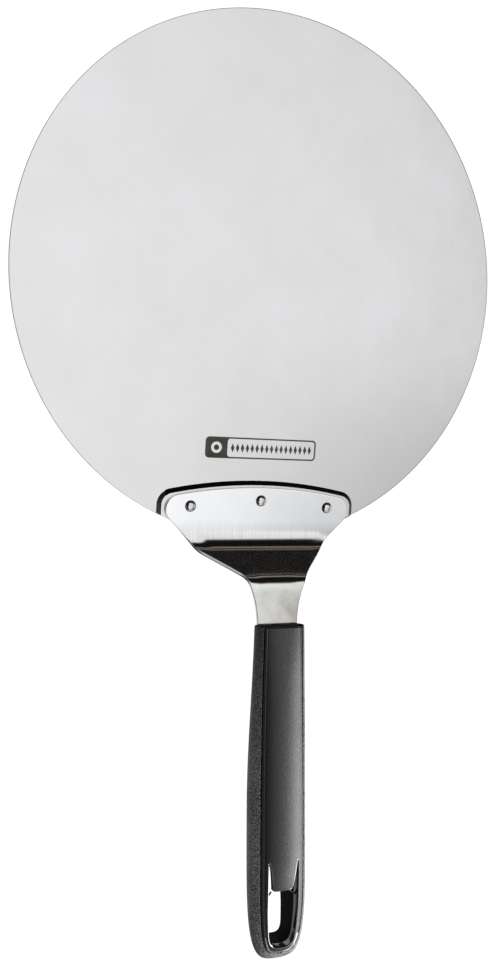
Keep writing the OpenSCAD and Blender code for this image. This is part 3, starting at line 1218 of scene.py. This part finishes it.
# -------------------------------- badge
BADGE = (-33.1, 32.9, -96.5, -84.9)
BADGE_BLOCK = 12.8
BADGE_LINE = 0.85
BADGE_T = 0.03
LOZENGES = 17
LOZENGE_HALF = (1.05, 2.5)


def rounded_box(x0, x1, y0, y1, r, steps=6):
    centres = [(x1 - r, y1 - r, 0), (x0 + r, y1 - r, 90), (x0 + r, y0 + r, 180)]
    centres.append((x1 - r, y0 + r, 270))
    loop = []
    for cx, cy, start in centres:
        loop += arc_points(cx, cy, r, radians(start), radians(start + 90), steps)
    return loop


def thin_plate(shape, loops):
    """A film on the blade's top, with holes where there are more loops."""
    plan, triangles, rows = triangulate(loops, [], [])
    top = shape.add([(x, y, BLADE_T + BADGE_T) for x, y in plan])
    low = shape.add([(x, y, BLADE_T - BADGE_T) for x, y in plan])
    shape.cap(top, low, triangles)
    for row in rows:
        shape.strip([top[i] for i in row], [low[i] for i in row])


def make_badge():
    """A frame, a block with a ring and a dot, and a row of lozenges."""
    x0, x1, y0, y1 = BADGE
    line = BADGE_LINE
    block_end = x0 + BADGE_BLOCK
    shape = Shape()
    frame_hole = rounded_box(block_end, x1 - line, y0 + line, y1 - line, 1.5)
    ring_x, ring_y = (x0 + block_end) / 2, (y0 + y1) / 2
    disc = arc_points(ring_x, ring_y, 3.1, 0, 2 * pi, 40)[:-1]
    thin_plate(shape, [rounded_box(x0, x1, y0, y1, 2.3), frame_hole, disc])
    dot = arc_points(ring_x, ring_y, 1.5, 0, 2 * pi, 30)[:-1]
    thin_plate(shape, [dot])
    start, end = block_end + 3, x1 - line - 3
    wide, tall = LOZENGE_HALF
    for i in range(LOZENGES):
        x = start + (end - start) * i / (LOZENGES - 1)
        lozenge = [(x + wide, ring_y), (x, ring_y + tall)]
        lozenge += [(x - wide, ring_y), (x, ring_y - tall)]
        thin_plate(shape, [lozenge])
    return settle(shape.make("etched_ornament", [etched], 30), "brushed_sheet")


make_badge()


# -------------------------------- floor, light, camera
def make_floor():
    material, tree, shader = new_material("pale_floor")
    place = tree.nodes.new("ShaderNodeTexCoord").outputs["Object"]
    grain = noise(tree, place, 3.0, 3.0, 0.5)
    colour = two_colours(tree, grain, (0.40, 0.40, 0.40), (0.42, 0.42, 0.42))
    link(tree, colour, shader.inputs["Base Color"])
    shader.inputs["Roughness"].default_value = 0.9
    shader.inputs["Specular IOR Level"].default_value = 0.1
    shader.inputs["Emission Color"].default_value = (1, 1, 1, 1)
    # Its own emission keeps it white however little light reaches it.
    shader.inputs["Emission Strength"].default_value = 0.93
    shape = Shape()
    rows = []
    for r in (0.001, 200, 600, 2000, 6000, 12000):
        angles = [2 * pi * i / 96 for i in range(96)]
        rows.append(shape.add([(r * cos(a), r * sin(a) - 100, -0.25) for a in angles]))
    for a, b in zip(rows, rows[1:]):
        shape.strip(b, a)
    floor = shape.make("floor", [material], 30)
    # The steel mirrors the world's pale patch below instead of the floor.
    floor.visible_glossy = False
    floor.visible_diffuse = False


def direction(tree):
    coords = tree.nodes.new("ShaderNodeTexCoord")
    node = tree.nodes.new("ShaderNodeVectorMath")
    node.operation = "NORMALIZE"
    link(tree, coords.outputs["Generated"], node.inputs[0])
    return node.outputs["Vector"]


def patch(tree, source, axis, inner, outer):
    """1 up to inner degrees from a direction, fading to 0 at outer degrees."""
    dot = tree.nodes.new("ShaderNodeVectorMath")
    dot.operation = "DOT_PRODUCT"
    link(tree, source, dot.inputs[0])
    dot.inputs[1].default_value = Vector(axis).normalized()
    edges = cos(radians(outer)), cos(radians(inner))
    return spread(tree, dot.outputs["Value"], 0, 1, *edges, "SMOOTHSTEP")


def make_world():
    """A soft studio: bright ceiling, dark wall ahead, softboxes at the sides."""
    world = bpy.data.worlds.new("studio")
    bpy.context.scene.world = world
    world.use_nodes = True
    tree = world.node_tree
    tree.nodes.clear()
    look = direction(tree)
    height = tree.nodes.new("ShaderNodeSeparateXYZ")
    link(tree, look, height.inputs["Vector"])
    up = height.outputs["Z"]
    # The ceiling, from its dim edge to full brightness.
    total = spread(tree, up, 0.008, 1.10, 0.68, 0.81, "SMOOTHSTEP")
    # (direction, inner degrees, outer degrees, brightness added or taken away)
    softboxes = [
        ((-0.1, 0, 1), 5, 35, 0.12),
        ((-1, -0.1, 0.0), 15, 45, 0.6),
        ((0.2, -0.95, 0.2), 10, 45, 0.8),
        ((0.95, -0.25, 0.05), 5, 45, 0.9),
        ((0.75, 0.1, 0.65), 5, 32, 0.09),
        ((-0.62, 0.05, 0.75), 14, 40, -1.1),
        ((0.57, -0.20, 0.80), 5, 16, -0.42),
    ]
    for axis, inner, outer, gain in softboxes:
        part = patch(tree, look, axis, inner, outer)
        total = plus(tree, total, times(tree, part, gain))
    # The pale table, as the upright faces mirror it.
    table = patch(tree, look, (0, 0, -1), 35, 55)
    total = plus(tree, total, times(tree, table, 0.75))
    # A thin light line above the horizon, ahead.
    ahead = patch(tree, look, (0.3, 1, 0.08), 20, 60)
    distance = maths(tree, "ABSOLUTE", maths(tree, "SUBTRACT", up, 0.12), 0.0)
    band = spread(tree, distance, 0, 1, 0.10, 0.03, "SMOOTHSTEP")
    line = times(tree, times(tree, ahead, band), 0.27)
    total = maths(tree, "MAXIMUM", plus(tree, total, line), 0.0)
    studio = tree.nodes.new("ShaderNodeBackground")
    link(tree, total, studio.inputs["Strength"])
    warm = patch(tree, look, (0.3, 1, 0.0), 30, 48)
    tint = two_colours(tree, warm, (0.99, 0.992, 1.0), (1.0, 0.85, 0.72))
    link(tree, tint, studio.inputs["Color"])
    plain = tree.nodes.new("ShaderNodeBackground")
    plain.inputs["Color"].default_value = (1, 1, 1, 1)
    rays = tree.nodes.new("ShaderNodeLightPath")
    mix = tree.nodes.new("ShaderNodeMixShader")
    link(tree, rays.outputs["Is Camera Ray"], mix.inputs["Fac"])
    link(tree, studio.outputs["Background"], mix.inputs[1])
    link(tree, plain.outputs["Background"], mix.inputs[2])
    output = tree.nodes.new("ShaderNodeOutputWorld")
    link(tree, mix.outputs["Shader"], output.inputs["Surface"])


def add_softbox(name, place, target, size, power, receivers=()):
    light = bpy.data.lights.new(name, "AREA")
    light.shape = "RECTANGLE"
    light.size, light.size_y = size
    light.energy = power
    lamp = bpy.data.objects.new(name, light)
    lamp.location = place
    aim = Vector(target) - Vector(place)
    lamp.rotation_euler = aim.to_track_quat("-Z", "Y").to_euler()
    lamp.visible_camera = False
    bpy.context.scene.collection.objects.link(lamp)
    if receivers:
        lit = bpy.data.collections.new(name + "_receivers")
        for piece in receivers:
            lit.objects.link(piece)
        lamp.light_linking.receiver_collection = lit


def make_camera():
    """The eye is above the left of the part and looks down on it."""
    azimuth, elevation, roll = (radians(a) for a in (22.30, -5.66, 3.74))
    level = cos(elevation)
    back = (-sin(azimuth) * level, -sin(elevation), cos(azimuth) * level)
    back = Vector(back)
    right = Vector((0, 1, 0)).cross(back).normalized()
    up = back.cross(right)
    x_axis = right * cos(roll) + up * sin(roll)
    y_axis = up * cos(roll) - right * sin(roll)
    data = bpy.data.cameras.new("camera")
    data.sensor_width = 36.0
    data.lens = 34.39
    data.clip_start = 0.01
    data.clip_end = 100
    camera = bpy.data.objects.new("camera", data)
    turn = Matrix((x_axis, y_axis, back)).transposed().to_4x4()
    camera.matrix_world = Matrix.Translation((-0.19796, -0.05826, 0.46649)) @ turn
    bpy.context.scene.collection.objects.link(camera)
    bpy.context.scene.camera = camera


make_floor()
make_world()
add_softbox("key_box", (-0.5, 0.35, 1.4), (0, -0.1, 0), (0.9, 0.9), 0.15)
add_softbox(
    "side_box",
    (0.38, -0.42, 0.28),
    (0, -0.265, 0.065),
    (0.48, 0.40),
    4.7,
    [panel, grip],
)
make_camera()
bpy.context.scene.view_settings.view_transform = "Standard"
